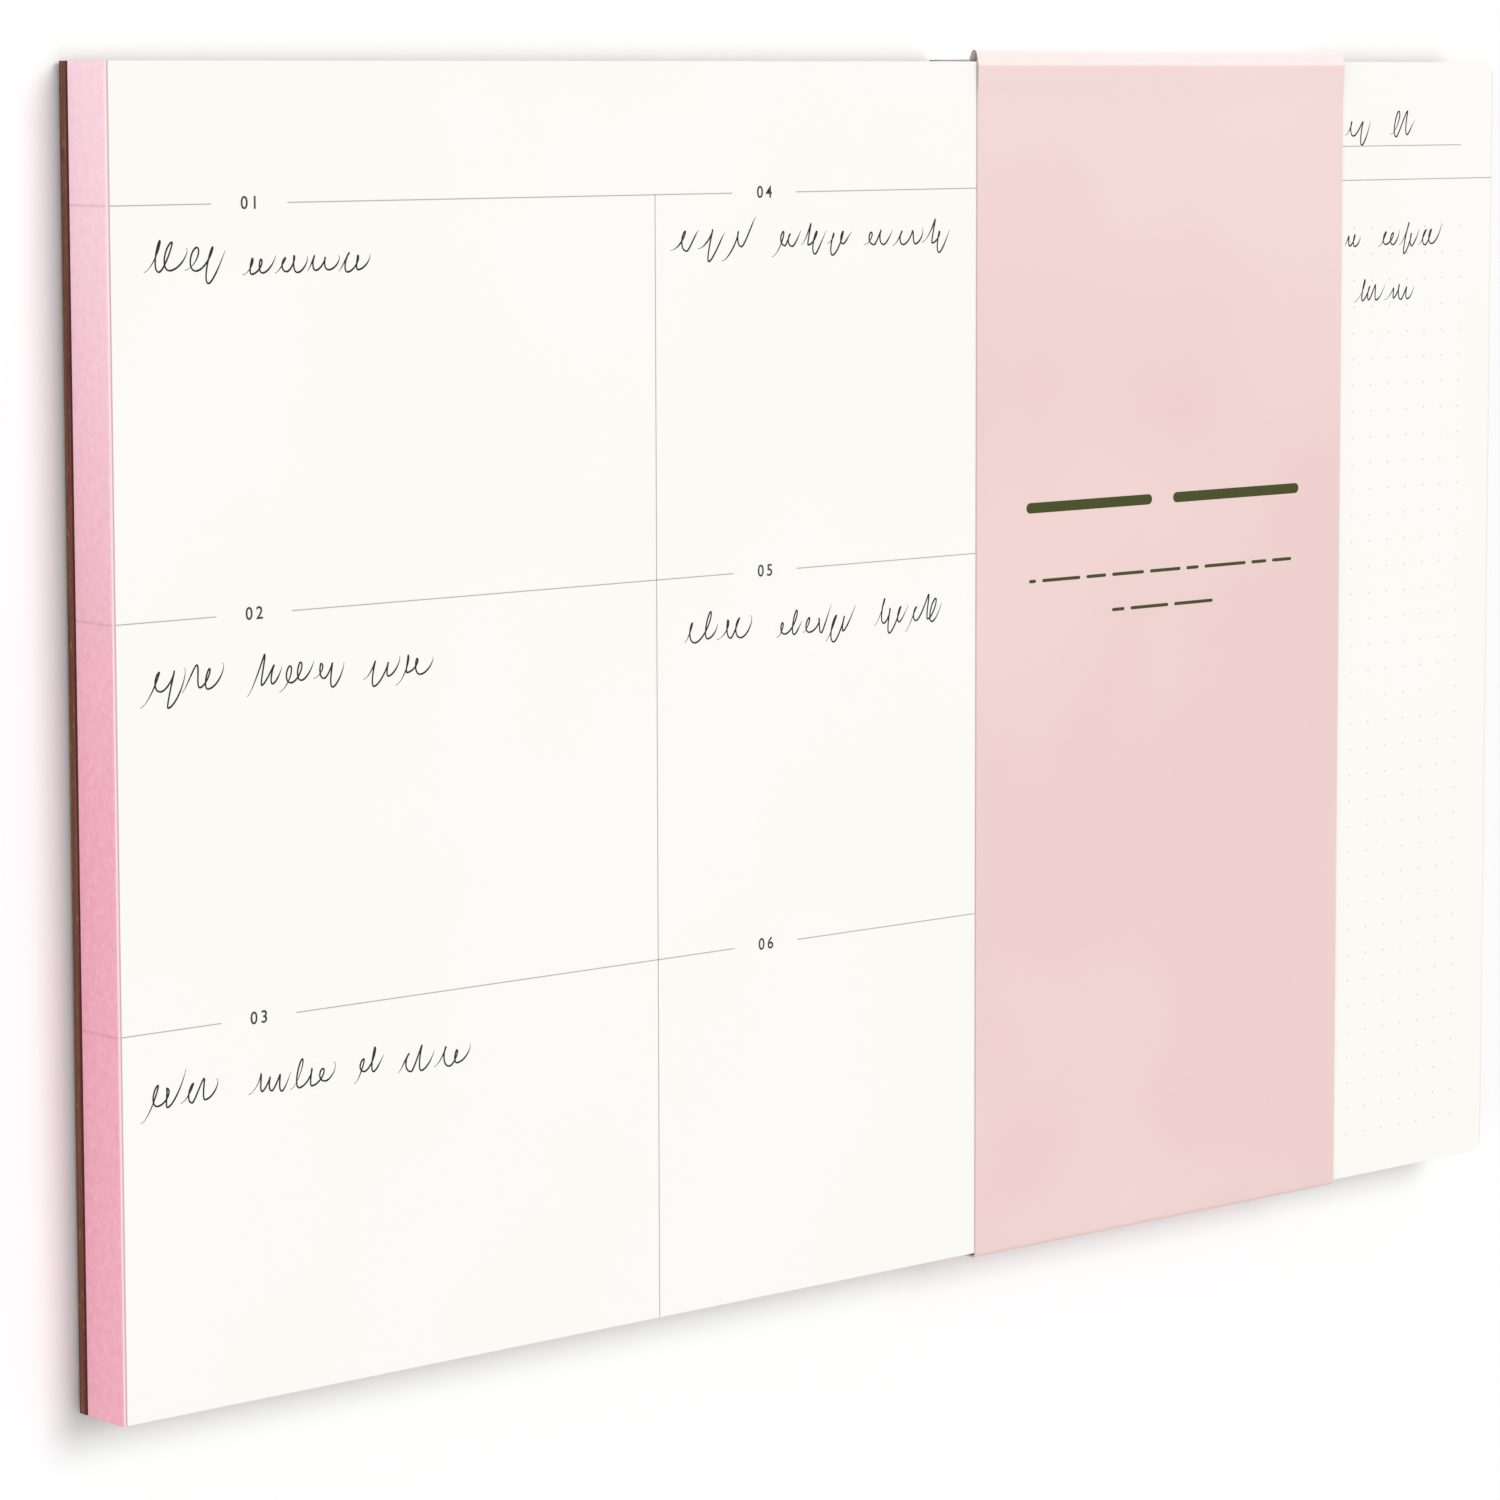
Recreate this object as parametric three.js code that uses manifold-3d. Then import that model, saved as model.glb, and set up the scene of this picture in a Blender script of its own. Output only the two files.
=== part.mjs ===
import * as THREE from 'three';
import { mergeVertices } from 'three/addons/utils/BufferGeometryUtils.js';
import Module from 'manifold-3d';

// A landscape tear-off desk pad with a paper band round it, lying on its back.
// Lengths are in millimetres. +X runs from the glued edge along the long side,
// +Y runs to the head of the page, and +Z runs up out of the page.

// The pad
const padLength = 323;
const padWidth = 215;
const cornerRadius = 2.5;
const cornerSteps = 5;

// The chipboard back
const boardThickness = 2.4;
const boardEdgeSoftening = 0.25;

// The sheets: a trimmed stack, in which each sheet has slipped a little
const sheetCount = 65;
const sheetThickness = 0.15;
const largestSlip = 0.14;
const slipContrast = 1.3;
const slipStride = 0.618;

// The padding glue, brushed over the sheets' left-hand edges and a little way onto the page
const glueThickness = 0.3;
const glueSwell = 0.1;
const glueSwellHeight = 2.4;
const glueLipWidth = 0.75;
const glueLipThickness = 0.1;
const glueSteps = 5;

// The band: one strip of card, folded round the pad and glued to itself at the back
const bandWidth = 95;
const bandFromGluedEdge = 185;
const bandThickness = 0.3;
const bandOverlap = 20;
const seamRamp = 3;

// The loose fold at the head: it lifts off the page, stands out as a crest and tucks back in
const liftLength = 8;
const liftHeight = 0.3;
const bendInset = 0.8;
const crestStandoff = 1.8;
const crestDrop = 0.7;
const tuckDrop = 2;
const tuckClearance = 0.1;

// The tighter fold at the foot, rounded at both of its corners
const footFoldRadius = 0.6;
const foldSteps = 10;

// Heights above the surface that the pad lies on. The band's two glued layers are lowest.
const boardBack = 2 * bandThickness;
const boardFront = boardBack + boardThickness;
const pageHeight = boardFront + sheetCount * sheetThickness;

const gluedEdge = -padLength / 2;
const freeEdge = padLength / 2;

// The band stands out further at the head than at the foot, so the pad lies a little off the middle.
const headReach = crestStandoff + bandThickness;
const footReach = footFoldRadius + bandThickness;
const padMiddle = (footReach - headReach) / 2;
const footEdge = padMiddle - padWidth / 2;
const headEdge = padMiddle + padWidth / 2;

const wasm = await Module();
wasm.setup();

// A closed solid from the faces of a three.js geometry.
function solidOf(geometry) {
  const bare = geometry.clone();
  bare.deleteAttribute('normal');
  bare.deleteAttribute('uv');
  const welded = mergeVertices(bare);
  const skin = new wasm.Mesh({
    numProp: 3,
    vertProperties: new Float32Array(welded.attributes.position.array),
    triVerts: new Uint32Array(welded.index.array),
  });
  return new wasm.Manifold(skin);
}

// A three.js geometry from a closed solid.
function geometryOf(solid) {
  const skin = solid.getMesh();
  const geometry = new THREE.BufferGeometry();
  geometry.setAttribute('position', new THREE.BufferAttribute(skin.vertProperties, 3));
  geometry.setIndex(new THREE.BufferAttribute(skin.triVerts, 1));
  const faceted = geometry.toNonIndexed();
  faceted.computeVertexNormals();
  return faceted;
}

// The outline of a board or sheet: square at the glued end, with the two free corners rounded.
// Its three free sides can lie in from the full size, by the same amount all round.
function padOutline(left, inset) {
  const radius = cornerRadius - inset;
  const arcX = freeEdge - cornerRadius;
  const outline = new THREE.Shape();
  outline.moveTo(left, headEdge - inset);
  outline.lineTo(left, footEdge + inset);
  outline.absarc(arcX, footEdge + cornerRadius, radius, -Math.PI / 2, 0);
  outline.absarc(arcX, headEdge - cornerRadius, radius, 0, Math.PI / 2);
  outline.closePath();
  return outline;
}

// The board is cut from one sheet, and its edges are slightly crushed by the knife.
function backingBoard() {
  const outline = padOutline(gluedEdge, 0);
  const geometry = new THREE.ExtrudeGeometry(outline, {
    depth: boardThickness - 2 * boardEdgeSoftening,
    curveSegments: cornerSteps,
    bevelThickness: boardEdgeSoftening,
    bevelSize: boardEdgeSoftening,
    bevelOffset: -boardEdgeSoftening,
    bevelSegments: 2,
  });
  return geometry.translate(0, 0, boardBack + boardEdgeSoftening);
}

// How far in a sheet's cut edges lie: by turns less and more, each with an uneven share of its own.
function slipOf(sheet) {
  const spread = sheet * slipStride;
  const share = spread - Math.floor(spread);
  return (largestSlip * (slipContrast * (sheet % 2) + share)) / (slipContrast + 1);
}

// The sheets are one solid, flush at the glue. Each cut edge shows on the three free sides.
function sheetBlock() {
  const sheets = [];
  for (let sheet = 0; sheet < sheetCount; sheet += 1) {
    const outline = padOutline(gluedEdge + glueThickness, slipOf(sheet));
    const geometry = new THREE.ExtrudeGeometry(outline, {
      depth: sheetThickness,
      curveSegments: cornerSteps,
      bevelEnabled: false,
    });
    sheets.push(solidOf(geometry.translate(0, 0, boardFront + sheet * sheetThickness)));
  }
  return geometryOf(wasm.Manifold.union(sheets));
}

// The glue swells a little towards the page, turns over the arris and thins out on the page.
function bindingGlue() {
  const inside = gluedEdge + glueThickness;
  const lipTop = pageHeight + glueLipThickness;
  const profile = new THREE.Shape();
  profile.moveTo(inside, boardFront);
  profile.lineTo(inside, pageHeight);
  profile.lineTo(inside + glueLipWidth, pageHeight);
  profile.quadraticCurveTo(inside + glueLipWidth / 2, lipTop, inside, lipTop);
  profile.quadraticCurveTo(gluedEdge, lipTop, gluedEdge, pageHeight - glueThickness);
  profile.quadraticCurveTo(gluedEdge, boardFront + glueSwellHeight, gluedEdge + glueSwell, boardFront);
  profile.closePath();
  const geometry = new THREE.ExtrudeGeometry(profile, {
    depth: padWidth,
    curveSegments: glueSteps,
    bevelEnabled: false,
  });
  return geometry.rotateX(Math.PI / 2).translate(0, headEdge, 0);
}

// The band's inner line seen from its free end, with y as the first number and z as the second.
// It starts at the end that is glued underneath and runs round by the foot, the page and the head.
function bandLine() {
  const line = new THREE.Path();
  line.moveTo(bandOverlap / 2, boardBack);
  line.lineTo(-bandOverlap / 2, boardBack);
  line.absarc(footEdge, boardBack + footFoldRadius, footFoldRadius, -Math.PI / 2, -Math.PI, true);
  line.absarc(footEdge, pageHeight - footFoldRadius, footFoldRadius, Math.PI, Math.PI / 2, true);

  const bendY = headEdge - bendInset;
  const bendZ = pageHeight + liftHeight;
  line.lineTo(bendY - liftLength, pageHeight);
  line.bezierCurveTo(bendY - liftLength / 2, pageHeight, bendY - liftLength / 2, bendZ, bendY, bendZ);

  const crestY = headEdge + crestStandoff;
  const crestZ = pageHeight - crestDrop;
  const tuckY = headEdge + tuckClearance;
  const tuckZ = pageHeight - tuckDrop;
  line.bezierCurveTo((bendY + crestY) / 2, bendZ, crestY, (bendZ + crestZ) / 2, crestY, crestZ);
  line.bezierCurveTo(crestY, (crestZ + tuckZ) / 2, tuckY, (crestZ + tuckZ) / 2, tuckY, tuckZ);
  line.absarc(headEdge, boardBack + tuckClearance, tuckClearance, 0, -Math.PI / 2, true);
  line.lineTo(bandOverlap / 2 + seamRamp, boardBack);
  return line.getPoints(foldSteps);
}

// The points of a line moved out by the card's thickness, square to the line.
function movedOut(points) {
  return points.map((point, index) => {
    const before = points[Math.max(index - 1, 0)];
    const after = points[Math.min(index + 1, points.length - 1)];
    const into = point.clone().sub(before).normalize();
    const outOf = after.clone().sub(point).normalize();
    const along = into.clone().add(outOf).normalize();
    const side = index > 0 ? into : outOf;
    const stretch = 1 / along.dot(side);
    const outward = new THREE.Vector2(-along.y, along.x);
    return point.clone().addScaledVector(outward, bandThickness * stretch);
  });
}

// A strip of card with this section, as wide as the band and at its place along the pad.
function strip(section) {
  const geometry = new THREE.ExtrudeGeometry(section, {
    depth: bandWidth,
    bevelEnabled: false,
  });
  const alongX = new THREE.Matrix4().makeBasis(
    new THREE.Vector3(0, 1, 0),
    new THREE.Vector3(0, 0, 1),
    new THREE.Vector3(1, 0, 0),
  );
  return solidOf(geometry.applyMatrix4(alongX).translate(gluedEdge + bandFromGluedEdge, 0, 0));
}

// The band's outer end leaves the board, steps over the inner end and lies glued to it.
function bellyBand() {
  const inner = bandLine();
  const loop = new THREE.Shape([...inner, ...movedOut(inner).reverse()]);
  const halfOverlap = bandOverlap / 2;
  const rampStart = halfOverlap + seamRamp;
  const flap = new THREE.Shape();
  flap.moveTo(rampStart, boardBack);
  flap.lineTo(halfOverlap, boardBack - bandThickness);
  flap.lineTo(-halfOverlap, boardBack - bandThickness);
  flap.lineTo(-halfOverlap, boardBack - 2 * bandThickness);
  flap.lineTo(halfOverlap, boardBack - 2 * bandThickness);
  flap.lineTo(rampStart, boardBack - bandThickness);
  flap.closePath();
  return geometryOf(strip(loop).add(strip(flap)));
}

// A named piece of the pad, with its colour and surface.
function piece(name, geometry, color, roughness) {
  const material = new THREE.MeshStandardMaterial({ color, roughness, metalness: 0 });
  const mesh = new THREE.Mesh(geometry, material);
  mesh.name = name;
  return mesh;
}

const deskPad = new THREE.Group();
deskPad.name = 'desk_pad';
deskPad.add(
  piece('backing_board', backingBoard(), '#7d5644', 0.9),
  piece('sheet_block', sheetBlock(), '#fbfaf5', 0.85),
  piece('binding_glue', bindingGlue(), '#f2b6c6', 0.7),
  piece('belly_band', bellyBand(), '#f0d2d0', 0.75),
);

export default deskPad;
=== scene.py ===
import math

import bpy
import numpy as np
from mathutils import Matrix, Vector


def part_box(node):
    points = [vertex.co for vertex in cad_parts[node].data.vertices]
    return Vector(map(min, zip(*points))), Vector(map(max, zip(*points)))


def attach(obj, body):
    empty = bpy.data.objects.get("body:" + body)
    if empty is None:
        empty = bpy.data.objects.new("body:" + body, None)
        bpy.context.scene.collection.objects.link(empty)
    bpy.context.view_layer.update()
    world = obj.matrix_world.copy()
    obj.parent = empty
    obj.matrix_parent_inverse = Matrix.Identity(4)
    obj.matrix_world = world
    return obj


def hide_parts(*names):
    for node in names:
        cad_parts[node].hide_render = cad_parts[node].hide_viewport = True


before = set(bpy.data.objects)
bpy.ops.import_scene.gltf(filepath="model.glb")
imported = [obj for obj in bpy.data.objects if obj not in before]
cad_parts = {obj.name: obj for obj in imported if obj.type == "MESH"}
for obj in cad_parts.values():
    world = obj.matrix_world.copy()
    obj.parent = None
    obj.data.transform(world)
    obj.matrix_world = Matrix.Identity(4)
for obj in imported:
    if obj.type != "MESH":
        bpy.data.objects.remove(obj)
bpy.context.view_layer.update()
mm = 0.001


# Backing board. A stiff sheet of brown chipboard, cut with a knife and left bare, that
# carries the sheets. Its pulp is flecked, and the cut edge shows the layers it was rolled from.
class Number:
    """A number that changes over a surface. Arithmetic on it adds Math nodes to its recipe."""

    def __init__(self, recipe, socket):
        self.recipe = recipe
        self.socket = socket

    def math(self, operation, *values):
        node = self.recipe.add("ShaderNodeMath", {"operation": operation}, dict(enumerate(values)))
        return Number(self.recipe, node.outputs[0])

    def __add__(self, other):
        return self.math("ADD", self, other)

    def __sub__(self, other):
        return self.math("SUBTRACT", self, other)

    def __mul__(self, other):
        return self.math("MULTIPLY", self, other)

    def __truediv__(self, other):
        return self.math("DIVIDE", self, other)

    def __rsub__(self, other):
        return self.math("SUBTRACT", other, self)

    __radd__ = __add__
    __rmul__ = __mul__

    def between(self, low, high):
        """0 at low and below, 1 at high and above, with a smooth rise between them."""
        rise = {0: self, 1: low, 2: high}
        node = self.recipe.add("ShaderNodeMapRange", {"interpolation_type": "SMOOTHSTEP"}, rise)
        return Number(self.recipe, node.outputs[0])


class Recipe:
    """The nodes of one material, world or lamp."""

    def __init__(self, tree):
        self.tree = tree

    def add(self, kind, settings=None, values=None):
        """A node of this kind. Its settings are made first, then its sockets get values or links."""
        node = self.tree.nodes.new(kind)
        for name, setting in (settings or {}).items():
            setattr(node, name, setting)
        for key, value in (values or {}).items():
            self.feed(node.inputs[key], value)
        return node

    def feed(self, socket, value):
        """Gives a socket a plain value, or links it to a Number or to another socket."""
        source = value.socket if isinstance(value, Number) else value
        if isinstance(source, bpy.types.NodeSocket):
            self.tree.links.new(source, socket)
        else:
            socket.default_value = source


def color(code):
    """The linear colour of a six-digit code."""
    parts = np.array([int(code[i : i + 2], 16) for i in (1, 3, 5)]) / 255
    linear = np.where(parts <= 0.04045, parts / 12.92, ((parts + 0.055) / 1.055) ** 2.4)
    return (*linear.tolist(), 1.0)


class Finish(Recipe):
    """A surface: one shader, with patterns that are fixed to the piece by its own coordinates."""

    def __init__(self, name, roughness, shine=0.5):
        self.material = bpy.data.materials.new(name)
        self.material.use_nodes = True
        super().__init__(self.material.node_tree)
        self.shader = self.tree.nodes["Principled BSDF"]
        self.shader.inputs["Roughness"].default_value = roughness
        self.shader.inputs["Specular IOR Level"].default_value = shine
        self.place = self.add("ShaderNodeTexCoord").outputs["Object"]
        axes = self.add("ShaderNodeSeparateXYZ", None, {0: self.place}).outputs
        self.x, self.y, self.z = (Number(self, axis) for axis in axes)
        normal = self.add("ShaderNodeNewGeometry").outputs["Normal"]
        facing = self.add("ShaderNodeSeparateXYZ", None, {0: normal}).outputs
        sideways, upward = (Number(self, facing[axis]) for axis in (0, 2))
        self.sideways = sideways.math("ABSOLUTE", sideways)
        self.flat = upward.math("ABSOLUTE", upward).between(0.4, 0.8)

    def cloud(self, per_metre, detail=3.0, stretch=(1, 1, 1)):
        """Soft random tone from 0 to 1, with this many blotches to the metre before it is stretched."""
        place = self.add("ShaderNodeVectorMath", {"operation": "MULTIPLY"}, {0: self.place, 1: stretch})
        values = {"Vector": place.outputs[0], "Scale": per_metre, "Detail": detail}
        return Number(self, self.add("ShaderNodeTexNoise", None, values).outputs[0])

    def mix(self, share, first, second):
        """The first colour where share is 0 and the second where it is 1."""
        values = {0: share, 6: first, 7: second}
        return self.add("ShaderNodeMix", {"data_type": "RGBA"}, values).outputs[2]

    def finish(self, base, roughness=None, relief=None, depth=0.02 * mm, strength=1.0):
        """Feeds the shader its colour, its roughness and its fine relief, which is depth metres deep."""
        self.feed(self.shader.inputs["Base Color"], base)
        if roughness is not None:
            self.feed(self.shader.inputs["Roughness"], roughness)
        if relief is not None:
            values = {"Strength": strength, "Distance": depth, "Height": relief}
            self.feed(self.shader.inputs["Normal"], self.add("ShaderNodeBump", None, values).outputs[0])
        return self.material


def wear(piece, material):
    """Gives a piece this material and no other."""
    piece.data.materials.clear()
    piece.data.materials.append(material)
    return piece


chipboard = Finish("chipboard", 0.9, 0.2)
pulp = chipboard.cloud(260, 5)
flecks = chipboard.cloud(1500, 2, (1, 0.35, 1)).between(0.6, 0.72)
layers = chipboard.cloud(420, 4, (0.06, 0.06, 9))
dents = chipboard.cloud(160, 4, (1, 1, 2.5)).between(0.58, 0.72)
board_low, board_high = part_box("backing_board")
# The top of the board's cut edge, beside the glue, is painted dark maroon.
dark_band_width = 0.35 * mm
dark_band_fade = 0.25 * mm
near_glue = chipboard.z.between(board_high.z - dark_band_width - dark_band_fade, board_high.z - dark_band_width)
on_edge = 1 - chipboard.flat
face_brown = chipboard.mix(pulp.between(0.3, 0.75), color("#5f3b2d"), color("#81563f"))
edge_brown = chipboard.mix(layers.between(0.35, 0.65), color("#613329"), color("#7c5541"))
brown = chipboard.mix(chipboard.flat, edge_brown, face_brown)
brown = chipboard.mix(flecks * 0.45, brown, color("#a98468"))
brown = chipboard.mix(dents * on_edge * 0.55, brown, color("#43271d"))
brown = chipboard.mix(near_glue * on_edge * 0.9, brown, color("#4a1f26"))
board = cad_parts["backing_board"]
wear(board, chipboard.finish(brown, 0.8 + pulp * 0.15, pulp + flecks * 0.5 + layers * 0.5, 0.06 * mm))
glued_edge = board_low.x
foot_edge = board_low.y
head_edge = board_high.y
pad_width = head_edge - foot_edge


# Sheets. Sixty-five leaves of smooth white writing paper in one trimmed block. The faces are
# bare paper, with painted shade along the free edge, and the cut edges show a painted hairline
# of shade between one leaf and the next.
sheet_low, sheet_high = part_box("sheet_block")
page_height = sheet_high.z
sheet_count = 65
sheet_thickness = (page_height - sheet_low.z) / sheet_count
paper = Finish("writing_paper", 0.75)
fibres = paper.cloud(2600, 3, (1, 0.6, 1))
shade = paper.cloud(18, 2)
leaf = (paper.z - sheet_low.z) / sheet_thickness
# Painted shade: the cut edges darken in a hairline between one leaf and the next. The trimming tone is the
# edges' own random grey.
painted_leaf_gap_shade = leaf.math("PINGPONG", leaf, 0.5).between(0.34, 0.5)
trimming = paper.cloud(300, 3, (1, 1, 0.02))
edge_shade_and_tone = (1 - paper.flat) * (0.25 * painted_leaf_gap_shade + 0.12 * trimming)
white = paper.mix(shade.between(0.35, 0.65), color("#f9f8f4"), color("#f9f7f1"))
white = paper.mix(edge_shade_and_tone, white, color("#a9a298"))
rim_width = 0.3 * mm
rim_fade = 0.2 * mm
# Painted shade: a faint grey line on the page along the free edge.
painted_free_edge_shade = paper.x.between(sheet_high.x - rim_width - rim_fade, sheet_high.x - rim_width)
white = paper.mix(painted_free_edge_shade * paper.flat * 0.25, white, color("#c4c1b8"))
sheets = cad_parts["sheet_block"]
wear(sheets, paper.finish(white, 0.68 + fibres * 0.15, fibres, 0.01 * mm, 0.5))


# Print on the top sheet. Thin grey rules that run off the page, with gaps for the day numbers,
# a column line, an underline and a faint grid of dots, all in flat ink.
ink_height = 0.02 * mm


def new_piece(name, points, faces, material):
    """A piece of the pad from its points and faces, in its place, riding on the pad's one body."""
    mesh = bpy.data.meshes.new(name)
    mesh.from_pydata(points.reshape(-1, 3).tolist(), [], faces)
    mesh.validate()
    piece = bpy.data.objects.new(name, mesh)
    bpy.context.collection.objects.link(piece)
    wear(piece, material)
    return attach(piece, "root")


def on_page(across, down):
    """A place on the page, from millimetres off the glued edge and millimetres below the head."""
    return glued_edge + np.asarray(across) * mm, head_edge - np.asarray(down) * mm


def ink_strokes(name, strokes, surface, material, corner_steps=8):
    """Flat strokes with round ends, one for each row (x1, y1, x2, y2, width) of strokes, in metres.
    Half the outline is a half circle about the first end and half is one about the second, and
    the outline stands a hair above the surface and reaches as far under it."""
    start, end, width = strokes[:, None, 0:2], strokes[:, None, 2:4], strokes[:, None, 4:5]
    run = end - start
    heading = np.arctan2(run[..., 1], run[..., 0])
    turn = np.linspace(0.5 * np.pi, 1.5 * np.pi, corner_steps)
    angle = np.concatenate([heading + turn, heading + turn + np.pi], axis=1)
    centre = np.repeat(np.concatenate([start, end], axis=1), corner_steps, axis=1)
    rim = centre + 0.5 * width * np.stack([np.cos(angle), np.sin(angle)], axis=-1)
    count, around = rim.shape[:2]
    top = np.concatenate([rim, np.full((count, around, 1), surface + ink_height)], axis=-1)
    under = np.concatenate([rim, np.full((count, around, 1), surface - ink_height)], axis=-1)
    points = np.stack([top, under], axis=1)
    number = np.arange(count * 2 * around).reshape(count, 2, around)
    after = np.roll(number, -1, axis=2)
    sides = np.stack([number[:, 0], number[:, 1], after[:, 1], after[:, 0]], axis=-1)
    faces = number[:, 0].tolist() + number[:, 1, ::-1].tolist() + sides.reshape(-1, 4).tolist()
    return new_piece(name, points, faces, material)


def printing_ink(name, code, density=0.15):
    """Flat printing ink, a little thin where the paper's tooth shows through it."""
    ink = Finish(name, 0.6, 0.2)
    tooth = ink.cloud(3500, 2)
    tone = ink.mix(tooth.between(0.3, 0.7) * density, color(code), color("#d9d6d0"))
    return ink.finish(tone, 0.5 + tooth * 0.2, tooth, 0.004 * mm, 0.4)


rule_gap = 0.2
page_end = (sheet_high.x - glued_edge) / mm - rule_gap
page_foot = pad_width / mm - rule_gap
band_low, band_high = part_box("belly_band")
band_near = (band_low.x - glued_edge) / mm - rule_gap
band_far = (band_high.x - glued_edge) / mm + rule_gap
rule_start = 0.4
rule_drops = (22.4, 87.55, 152.7)
number_gaps = ((20.0, 34.8), (127.8, 142.4))
column_across = 110.7
underline_drop = 15.95
underline_end = 313.8
rule_width = 0.17
rule_spans = [
    # from across, from down, to across, to down
    (band_far, rule_drops[0], page_end, rule_drops[0]),
    (column_across, rule_drops[0], column_across, page_foot),
    (band_far, underline_drop, underline_end, underline_drop),
]
for down in rule_drops:
    stops = [rule_start, *number_gaps[0], *number_gaps[1], band_near]
    rule_spans += [(start, down, end, down) for start, end in zip(stops[0::2], stops[1::2])]
near_across, near_down, far_across, far_down = np.transpose(rule_spans)
rule_near = on_page(near_across, near_down)
rule_far = on_page(far_across, far_down)
rule_rows = np.column_stack([*rule_near, *rule_far, np.full(len(rule_spans), rule_width * mm)])
ink_strokes("page_rules", rule_rows, page_height, printing_ink("rule_grey", "#aeaba5"))

dot_pitch = 5.0
dot_width = 0.38
dot_columns = 283.8 + dot_pitch * np.arange(7)
dot_lines = 31.5 + dot_pitch * np.arange(36)
dot_x, dot_y = (part.ravel() for part in on_page(*np.meshgrid(dot_columns, dot_lines)))
dot_rows = np.column_stack([dot_x, dot_y, dot_x, dot_y, np.full(dot_x.size, dot_width * mm)])
ink_strokes("dot_grid", dot_rows, page_height, printing_ink("dot_grey", "#d6d3cc"), 4)

number_ink = printing_ink("number_grey", "#2e2c2a", 0.06)
number_places = [(gap, down) for gap in number_gaps for down in rule_drops]
for day, (gap, down) in enumerate(number_places, start=1):
    figure = bpy.data.curves.new(f"day_number_{day}", "FONT")
    figure.body = f"{day:02d}"
    figure.size = 2.9 * mm
    figure.space_character = 1.4
    figure.align_x = "CENTER"
    figure.align_y = "CENTER"
    figure.extrude = ink_height
    figure.offset = 0.03 * mm
    lettering = bpy.data.objects.new("lettering", figure)
    bpy.context.collection.objects.link(lettering)
    bpy.context.view_layer.update()
    graph = bpy.context.evaluated_depsgraph_get()
    mesh = bpy.data.meshes.new_from_object(lettering.evaluated_get(graph))
    bpy.data.objects.remove(lettering)
    figure_x, figure_y = on_page(sum(gap) / 2, down)
    mesh.transform(Matrix.Translation((float(figure_x), float(figure_y), page_height)))
    piece = bpy.data.objects.new(f"day_number_{day}", mesh)
    bpy.context.collection.objects.link(piece)
    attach(wear(piece, number_ink), "root")


# Padding glue. A pink rubbery film that was brushed over the sheets' left-hand edges, so that
# a sheet peels off it. It shows brush ridges and pits, and turns a little way onto the page.
glue_low, glue_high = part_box("binding_glue")
sheet_edge = sheet_low.x


def curve(points, steps):
    """A smooth curve between the first and last of three or four points, pulled by the others."""
    share = np.linspace(0, 1, steps)[:, None]
    rows = [np.asarray(p, float)[None] for p in points]
    while len(rows) > 1:
        rows = [a * (1 - share) + b * share for a, b in zip(rows, rows[1:])]
    return rows[0]


def unevenness(first, second, waves, seed):
    """A smooth random height from about -1 to 1: a sum of waves that run in random directions."""
    draw = np.random.default_rng(seed)
    total = np.zeros(np.broadcast(first, second).shape)
    for pitch in waves:
        heading, phase = draw.uniform(0, 2 * np.pi, 2)
        total += np.sin((first * np.cos(heading) + second * np.sin(heading)) * 2 * np.pi / pitch + phase)
    return total / len(waves) ** 0.5 / 1.5


def rolled(points):
    """Faces of a grid whose columns close on themselves, with each end shut by one flat face."""
    rows, columns = points.shape[:2]
    number = np.arange(rows * columns).reshape(rows, columns)
    after = np.roll(number, -1, axis=1)
    sides = np.stack([number[:-1], after[:-1], after[1:], number[1:]], axis=-1).reshape(-1, 4).tolist()
    return sides + [number[0, ::-1].tolist(), number[-1].tolist()]


glue_thickness = 0.3 * mm
glue_swell = 0.1 * mm
swell_height = 2.4 * mm
arris = (glue_low.x, page_height - glue_thickness)
swell = (glue_low.x, glue_low.z + swell_height)
lip_tip = (glue_high.x, page_height)
lip_root = (sheet_edge, glue_high.z)
side_line = curve([(glue_low.x + glue_swell, glue_low.z), swell, arris], 44)
turn_line = curve([arris, (glue_low.x, glue_high.z), lip_root], 10)[1:]
lip_line = curve([lip_root, ((sheet_edge + glue_high.x) / 2, glue_high.z), lip_tip], 8)[1:]
outside = np.concatenate([side_line, turn_line, lip_line])
inside = np.array([(sheet_edge, page_height), (sheet_edge, glue_low.z)])
glue_profile = np.concatenate([outside, inside])
glue_rows = 620
glue_y = np.linspace(foot_edge, head_edge, glue_rows)[:, None]
level = glue_profile[None, :, 1]
ridge_stretch = 0.12
ridge_depth = 0.035 * mm
pit_depth = 0.05 * mm
deepest = 0.12 * mm
ridges = unevenness(level, glue_y * ridge_stretch, np.array([0.5, 0.8, 1.3, 2.1]) * mm, 3)
pits = unevenness(level, glue_y, np.array([0.9, 1.2, 1.7, 2.3, 3.1, 4.3]) * mm, 8)
sunk = ridge_depth * (1 + ridges) + pit_depth * np.clip(pits - 0.35, 0, 1)
ridged_turn_points = 6
on_side = np.zeros(len(glue_profile))
on_side[1 : len(side_line) + ridged_turn_points] = 1
glue_x = glue_profile[None, :, 0] + np.clip(sunk, 0, deepest) * on_side
glue_points = np.stack(np.broadcast_arrays(glue_x, glue_y, level), axis=-1)

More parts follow.
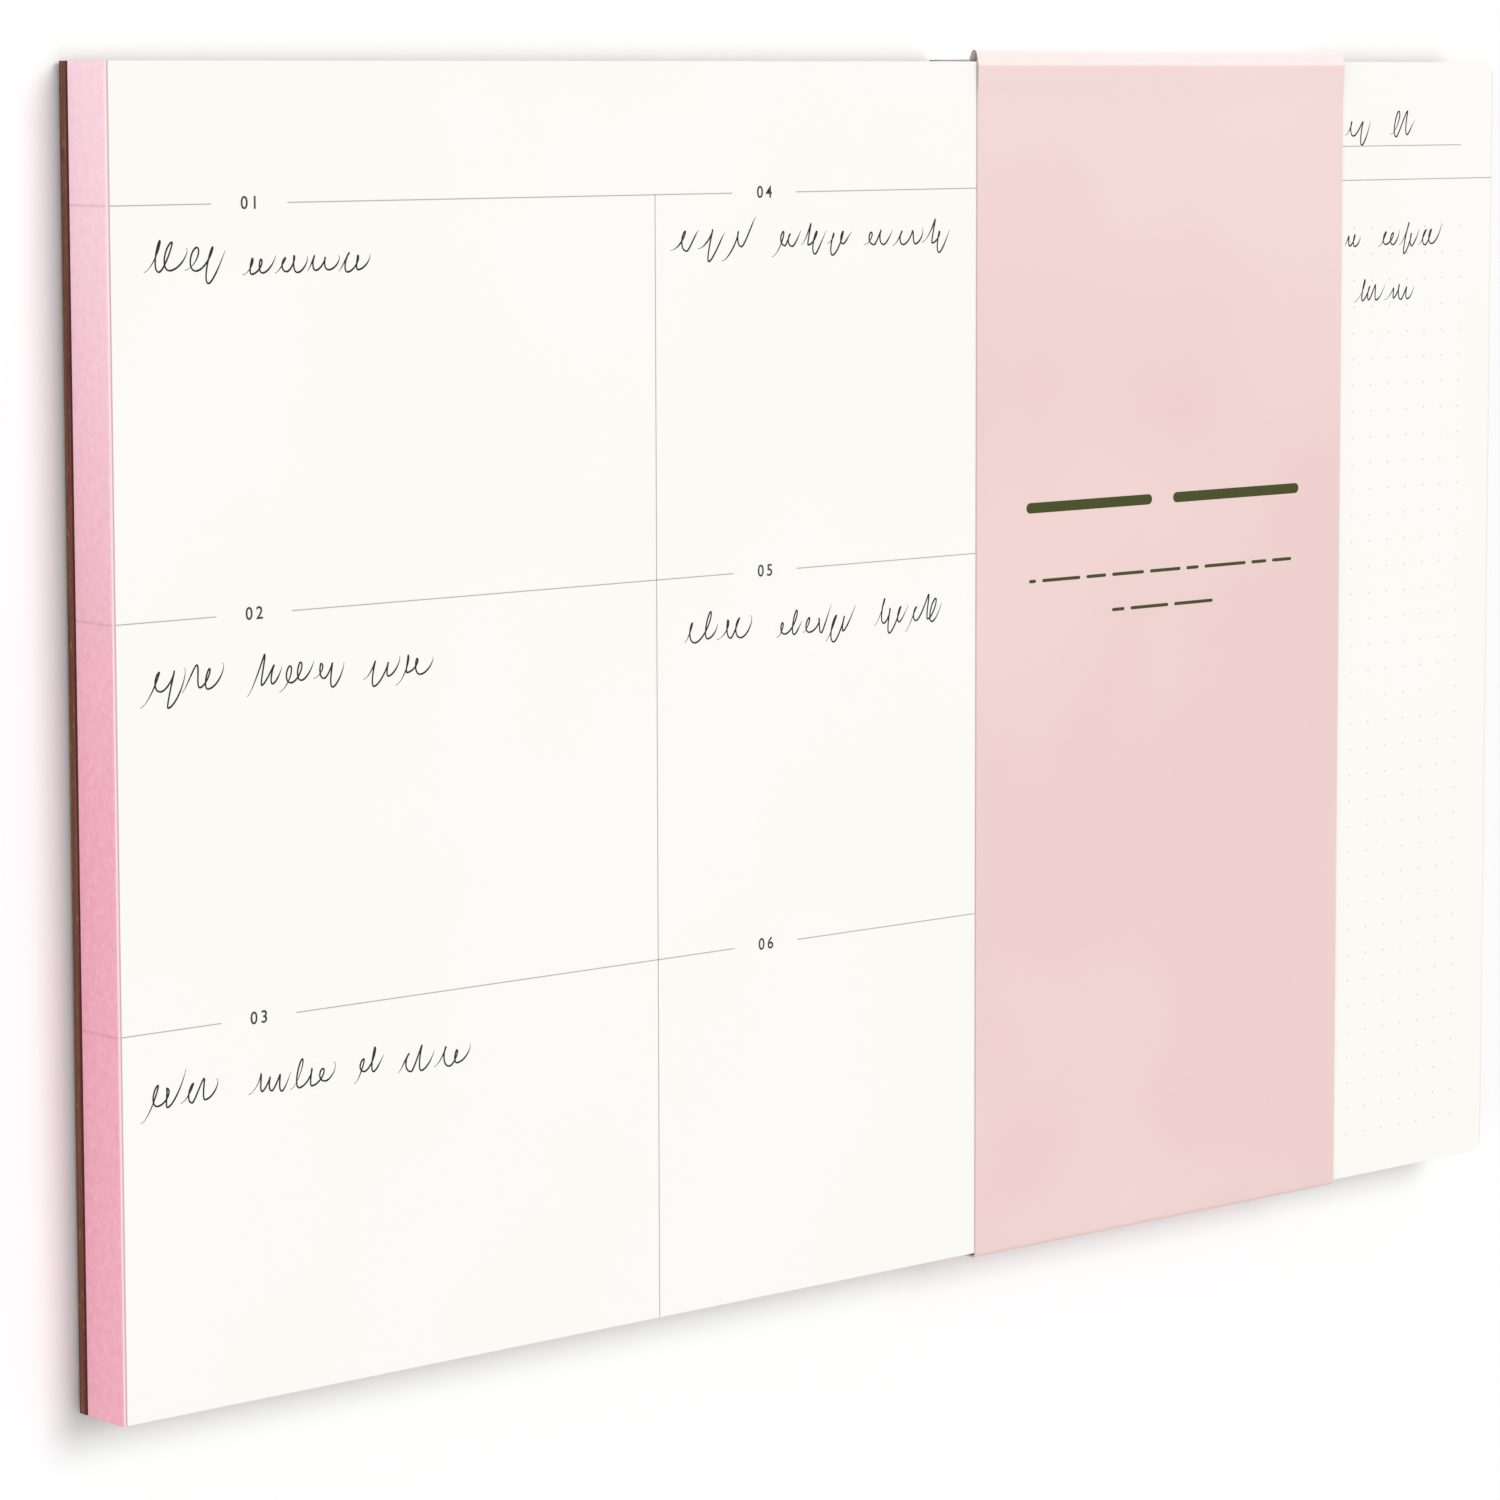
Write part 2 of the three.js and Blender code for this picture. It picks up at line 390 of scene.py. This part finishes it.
pink_film = Finish("padding_glue", 0.5)
mottle = pink_film.cloud(700, 5)
stipple = pink_film.cloud(2400, 3, (1, 0.5, 1))
brushed = pink_film.cloud(500, 3, (1, 0.05, 3))
# Painted light: the film is painted paler toward the head and deeper pink toward the foot, and its mottle
# is painted fainter toward the head.
painted_light_toward_head = ((pink_film.y - foot_edge) / pad_width).between(0.35, 1.05)
pink = pink_film.mix(painted_light_toward_head, color("#f2abbd"), color("#fdd9e4"))
pink = pink_film.mix(mottle.between(0.35, 0.75) * (0.3 - 0.16 * painted_light_toward_head), pink, color("#e2909f"))
pink = pink_film.mix(stipple.between(0.5, 0.8) * 0.4, pink, color("#fce0e8"))
for down in rule_drops:
    distance = pink_film.y - (head_edge - down * mm)
    bleed = 1 - distance.math("ABSOLUTE", distance).between(0.1 * mm, 0.35 * mm)
    pink = pink_film.mix(bleed * 0.22, pink, color("#9d6577"))
# Painted highlight on the lip where it turns onto the page, and painted shade in a grey-pink line at the
# lip's tip.
tip_width = 0.28 * mm
lip_fade = 0.1 * mm
painted_lip_highlight = pink_film.x.between(sheet_edge - lip_fade, sheet_edge + lip_fade)
painted_tip_shade = pink_film.x.between(glue_high.x - tip_width - lip_fade, glue_high.x - tip_width)
pink = pink_film.mix(painted_lip_highlight * 0.75, pink, color("#fde3e6"))
pink = pink_film.mix(painted_tip_shade * 0.9, pink, color("#c9a6a6"))
glue = new_piece(
    "padding_glue",
    glue_points,
    rolled(glue_points),
    pink_film.finish(pink, 0.42 + mottle * 0.25, mottle + stipple * 0.6 + brushed, 0.06 * mm, 0.7),
)
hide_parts("binding_glue")


# Pen strokes on the top sheet. Quick marks of a fine black pen that form no letters. The pen swings
# up and down as it runs to the right, and it is lifted now and then.
pen_words = np.array(
    [
        # from, to, base below the head, height
        (7.7, 22.1, 33.0, 3.9),
        (26.4, 50.4, 33.6, 3.1),
        (6.7, 20.3, 98.9, 4.1),
        (26.9, 44.5, 99.0, 3.2),
        (49.3, 62.5, 99.6, 3.2),
        (5.7, 18.3, 164.9, 3.9),
        (25.6, 41.4, 165.0, 3.4),
        (47.2, 51.8, 164.3, 3.0),
        (55.5, 69.3, 165.4, 3.4),
        (114.6, 131.8, 31.9, 3.8),
        (137.8, 154.9, 31.8, 2.9),
        (158.5, 178.1, 32.0, 2.9),
        (117.4, 130.9, 98.7, 3.8),
        (138.2, 155.1, 99.2, 3.2),
        (161.0, 176.0, 98.9, 3.2),
        (281.4, 287.4, 14.0, 3.2),
        (294.0, 300.0, 14.2, 3.4),
        (281.4, 285.1, 34.9, 2.4),
        (291.0, 307.3, 35.1, 3.1),
        (284.4, 300.3, 45.4, 3.0),
    ]
)
pen_width = 0.34 * mm
pen_steps = 160
pen_lean = 0.36
pen_lift = 0.9
swing_pitch = 0.72
usual_run = 6.5


def pen_stroke(start, end, base, height, seed):
    """A pen line, in millimetres on the page. It eases between turning points that lie by turns
    low and high, at uneven distances, and sways to make open loops. A few swings reach higher or lower.
    It leans forward in proportion to its height, and it is thin where the pen lands and lifts."""
    draw = np.random.default_rng(seed)
    count = 2 * max(int((end - start) / (swing_pitch * height)), 1) + 2
    turning = np.arange(count)
    level = np.where(turning % 2, draw.uniform(0.72, 1.0, count), draw.uniform(-0.05, 0.12, count))
    level += np.where(turning % 2, 0.5, -0.55) * (draw.uniform(size=count) < 0.2)
    gaps = draw.uniform(0.5, 1.5, count - 1)
    sway = draw.uniform(0.0, 0.3, count - 1)
    across = start + (end - start) * np.concatenate([[0], np.cumsum(gaps) / gaps.sum()])
    share = np.linspace(0, 1, pen_steps)
    at = share * (count - 1)
    before = np.minimum(at.astype(int), count - 2)
    ease = 0.5 - 0.5 * np.cos(np.pi * (at - before))
    rise = height * (level[before] * (1 - ease) + level[before + 1] * ease)
    along = np.interp(at, turning, across) + pen_lean * rise + height * sway[before] * np.sin(np.pi * at)
    x, y = on_page(along - 0.15 * height, base - rise)
    heading = np.arctan2(np.gradient(y), np.gradient(x))
    press = 0.5 * pen_width * np.clip(8 * np.minimum(share, 1 - share), 0.3, 1) * (1.0 - 0.15 * ease)
    around = np.linspace(0, 2 * np.pi, 8, endpoint=False)
    side = press[:, None] * np.cos(around)
    return np.stack(
        [
            x[:, None] - side * np.sin(heading)[:, None],
            y[:, None] + side * np.cos(heading)[:, None],
            page_height + 1.5 * ink_height * np.sin(around) * np.ones_like(side),
        ],
        axis=-1,
    )


pen_strokes = []
for start, end, base, height in pen_words:
    parts = max(round((end - start) / usual_run), 1)
    stops = np.linspace(start, end + pen_lift, parts + 1)
    for first, last in zip(stops[:-1], stops[1:] - pen_lift):
        pen_strokes.append(pen_stroke(first, last, base, height, len(pen_strokes)))
pen_strokes = np.stack(pen_strokes)
stroke_faces = rolled(pen_strokes[0])
stroke_starts = np.arange(len(pen_strokes)) * pen_strokes[0, ..., 0].size
pen_faces = [[int(start) + corner for corner in face] for start in stroke_starts for face in stroke_faces]
new_piece("pen_notes", pen_strokes, pen_faces, printing_ink("pen_black", "#151514", 0.03))


# Belly band. One strip of pale pink card, wrapped round the pad the short way and glued to
# itself underneath. Its folds were made for a thicker pad, so they stand off the paper's edges.
card = 0.29 * mm
glue_line = 0.02 * mm
half_overlap = 10 * mm
ramp = 3 * mm
board_back = board_low.z
foot_radius = 0.6 * mm
bend_inset = 0.8 * mm
lift_height = 0.3 * mm
lift_length = 8 * mm
crest_standoff = 1.79 * mm
crest_taper = 0.32 * mm
crest_drop = 0.7 * mm
tuck_drop = 2.0 * mm
tuck_clearance = 0.04 * mm


def quarter(centre_y, centre_z, radius, start, end, steps=9):
    """Part of a circle in the band's section, from one angle to another in degrees."""
    angle = np.radians(np.linspace(start, end, steps))
    return np.stack([centre_y + radius * np.cos(angle), centre_z + radius * np.sin(angle)], axis=-1)


def straight(first, second, steps):
    """Evenly spaced points from the first to the second."""
    return curve([first, second], steps)


def band_section(standoff):
    """The line that the card's inner face follows, from its hidden end by the foot, the page and
    the head to its outer end, when the loose fold stands this far off the head."""
    bend = (head_edge - bend_inset, page_height + lift_height)
    lift = (bend[0] - lift_length, page_height)
    middle = (bend[0] + lift[0]) / 2
    facet = (head_edge - 0.3 * mm, page_height + 0.16 * mm)
    shoulder = (head_edge + 0.75 * standoff, page_height - 0.25 * mm)
    crest = (head_edge + standoff, page_height - crest_drop)
    tuck = (head_edge + tuck_clearance, page_height - tuck_drop)
    waist = (crest[1] + tuck[1]) / 2
    flap = board_back - card - glue_line
    step_end = half_overlap - 0.2 * mm
    parts = [
        straight((half_overlap, board_back), (foot_edge, board_back), 30),
        quarter(foot_edge, board_back + foot_radius, foot_radius, -90, -180),
        quarter(foot_edge, page_height - foot_radius, foot_radius, 180, 90),
        straight((foot_edge, page_height), lift, 60)[1:],
        curve([lift, (middle, lift[1]), (middle, bend[1]), bend], 14)[1:],
        curve([bend, (bend[0] + 0.14 * mm, bend[1]), facet], 7)[1:],
        straight(facet, shoulder, 8)[1:],
        curve([shoulder, (crest[0], shoulder[1] - 0.2 * mm), crest], 10)[1:],
        curve([crest, (crest[0], waist), (tuck[0], waist), tuck], 14)[1:],
        straight(tuck, (tuck[0], board_back + tuck_clearance), 8)[1:],
        quarter(head_edge, board_back + tuck_clearance, tuck_clearance, 0, -90, 4)[1:],
        straight((head_edge, board_back), (half_overlap + ramp, board_back), 28)[1:],
        straight((half_overlap + ramp, board_back), (step_end, flap), 5)[1:],
        straight((step_end, flap), (-half_overlap, flap), 6)[1:],
    ]
    return np.concatenate(parts)


def slab(inner, outer):
    """The faces of a sheet with thickness: two grids of points, joined along their four borders."""
    rows, columns = inner.shape[:2]
    below = np.arange(rows * columns).reshape(rows, columns)
    above = below + rows * columns

    def quads(a, b, c, d):
        return np.stack([a, b, c, d], axis=-1).reshape(-1, 4).tolist()

    faces = quads(below[:-1, :-1], below[1:, :-1], below[1:, 1:], below[:-1, 1:])
    faces += quads(above[:-1, :-1], above[:-1, 1:], above[1:, 1:], above[1:, :-1])
    faces += quads(below[:-1, 0], above[:-1, 0], above[1:, 0], below[1:, 0])
    faces += quads(below[1:, -1], above[1:, -1], above[:-1, -1], below[:-1, -1])
    faces += quads(below[0, 1:], above[0, 1:], above[0, :-1], below[0, :-1])
    faces += quads(below[-1, :-1], above[-1, :-1], above[-1, 1:], below[-1, 1:])
    return faces


band_columns = 33
band_x = np.linspace(band_low.x, band_high.x, band_columns)
standoffs = crest_standoff - crest_taper * np.linspace(0, 1, band_columns) ** 0.7
inner_line = np.stack([band_section(standoff) for standoff in standoffs], axis=1)
step = np.gradient(inner_line, axis=0)
step /= np.linalg.norm(step, axis=-1, keepdims=True)
outer_line = inner_line + card * np.stack([-step[..., 1], step[..., 0]], axis=-1)
inner_face, outer_face = (
    np.concatenate([np.broadcast_to(band_x[None, :, None], (*line.shape[:2], 1)), line], axis=-1)
    for line in (inner_line, outer_line)
)
band_points = np.stack([inner_face, outer_face])

pink_card = Finish("pink_card", 0.7)
grain = pink_card.cloud(2200, 4, (1, 0.7, 1))
blush = pink_card.cloud(14, 2)
card_pink = pink_card.mix(blush.between(0.35, 0.65), color("#eed2cf"), color("#ebcdca"))
card_pink = pink_card.mix(grain.between(0.55, 0.8) * 0.12, card_pink, color("#fae9e7"))
# Painted light: the card is painted paler over the 70 mm nearest the head.
painted_light_length = 70 * mm
painted_light_near_head = pink_card.y.between(head_edge - painted_light_length, head_edge)
card_pink = pink_card.mix(painted_light_near_head * 0.35, card_pink, color("#f7e2e0"))
# Painted highlight: the card is painted near white along the fold at the head.
painted_fold_highlight = pink_card.y.between(head_edge - 0.9 * mm, head_edge - 0.5 * mm)
card_pink = pink_card.mix(painted_fold_highlight * 0.65, card_pink, color("#f6f0ee"))
# Painted shade: the card's cut edges are painted grey.
cut_edge_painted_shade = pink_card.sideways.between(0.6, 0.9)
card_pink = pink_card.mix(cut_edge_painted_shade * 0.7, card_pink, color("#c9b3b0"))
# Painted shade: the cut edges in the hollow under the fold at the head are painted dark.
painted_hollow_shade = pink_card.y.between(head_edge, head_edge + 0.4 * mm)
card_pink = pink_card.mix(cut_edge_painted_shade * painted_hollow_shade * 0.8, card_pink, color("#8a7674"))
band = new_piece(
    "paper_band",
    band_points,
    slab(inner_face, outer_face),
    pink_card.finish(card_pink, 0.6 + grain * 0.2, grain, 0.015 * mm, 0.5),
)
sharpest_bend = math.radians(40)
band.data.shade_smooth()
band.data.set_sharp_from_angle(angle=sharpest_bend)
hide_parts("belly_band")


# Print on the band. Plain bars of dark green ink in three centred rows, the first row broad and
# the others fine, printed flat on the card.
band_face = page_height + card
bar_rows = [
    # below the head, width, and each bar's start and end across
    (80.2, 1.9, [(198.2, 228.4), (235.8, 267.6)]),
    (93.5, 0.6, [(198.3, 199.4), (201.6, 210.6), (212.8, 217.2), (219.4, 227.0), (229.2, 236.6)]),
    (93.5, 0.6, [(238.8, 241.4), (243.6, 254.0), (256.2, 259.6), (261.8, 266.4)]),
    (100.0, 0.6, [(219.4, 222.0), (224.2, 233.4), (235.6, 245.2)]),
]
bars = [(start, end, down, width) for down, width, spans in bar_rows for start, end in spans]
bar_start, bar_end, bar_down, bar_width = np.transpose(bars)
bar_strokes = np.column_stack([*on_page(bar_start, bar_down), *on_page(bar_end, bar_down), bar_width * mm])
ink_strokes("band_bars", bar_strokes, band_face, printing_ink("olive_ink", "#3b420c", 0.02))


# Studio. A plain pale floor under the pad, soft light from all round, one broad lamp overhead
# and two weaker ones low down, at the head of the page and at the glued side.
floor_half = 4.0
floor_mesh = bpy.data.meshes.new("floor")
floor_corners = [(-floor_half, -floor_half, 0), (floor_half, -floor_half, 0)]
floor_corners += [(floor_half, floor_half, 0), (-floor_half, floor_half, 0)]
floor_mesh.from_pydata(floor_corners, [], [(0, 1, 2, 3)])
floor = bpy.data.objects.new("floor", floor_mesh)
bpy.context.collection.objects.link(floor)
floor_finish = Finish("floor", 0.9)
wear(floor, floor_finish.finish((0.99, 0.99, 0.99, 1)))

world = bpy.data.worlds.new("studio")
world.use_nodes = True
bpy.context.scene.world = world
sky = Recipe(world.node_tree)
rays = sky.add("ShaderNodeLightPath").outputs
seen = Number(sky, rays["Is Camera Ray"])
seen = seen.math("MAXIMUM", seen, Number(sky, rays["Is Glossy Ray"]))
seen = seen.math("MAXIMUM", seen, Number(sky, rays["Is Transmission Ray"]))
room_light = 0.59
background = world.node_tree.nodes["Background"]
background.inputs["Color"].default_value = (1, 1, 1, 1)
sky.feed(background.inputs["Strength"], room_light + (1 - room_light) * seen)


def lamp(name, toward, strength, softness):
    """A lamp far away, in this direction from the pad, as wide as softness in degrees."""
    light = bpy.data.lights.new(name, "SUN")
    light.energy = strength
    light.angle = math.radians(softness)
    placed = bpy.data.objects.new(name, light)
    placed.rotation_euler = Vector(toward).to_track_quat("Z", "Y").to_euler()
    bpy.context.collection.objects.link(placed)


lamp("overhead_lamp", (0.3, 0.45, 1.0), 1.3, 30)
lamp("head_lamp", (0.1, 1.0, 0.2), 0.2, 20)
lamp("side_lamp", (-1.0, 0.0, 0.3), 0.55, 30)


# Camera. A long lens that looks down on the page from the glued side, turned so that the head
# of the page is at the top of the picture.
camera_right = Vector((0.75661, -0.00235, 0.65386)).normalized()
camera_back = Vector((-0.65043, 0.09959, 0.75300)).normalized()
camera_up = camera_back.cross(camera_right).normalized()
camera_right = camera_up.cross(camera_back)
camera_place = Vector((-609.88, 103.35, 684.21)) * mm
lens = bpy.data.cameras.new("camera")
lens.sensor_width = 36
lens.lens = 124.21
lens.shift_y = -0.1
lens.clip_start = 0.05
camera = bpy.data.objects.new("camera", lens)
turn = Matrix((camera_right, camera_up, camera_back)).transposed()
camera.matrix_world = Matrix.Translation(camera_place) @ turn.to_4x4()
bpy.context.collection.objects.link(camera)
bpy.context.scene.camera = camera
bpy.context.scene.view_settings.view_transform = "Standard"
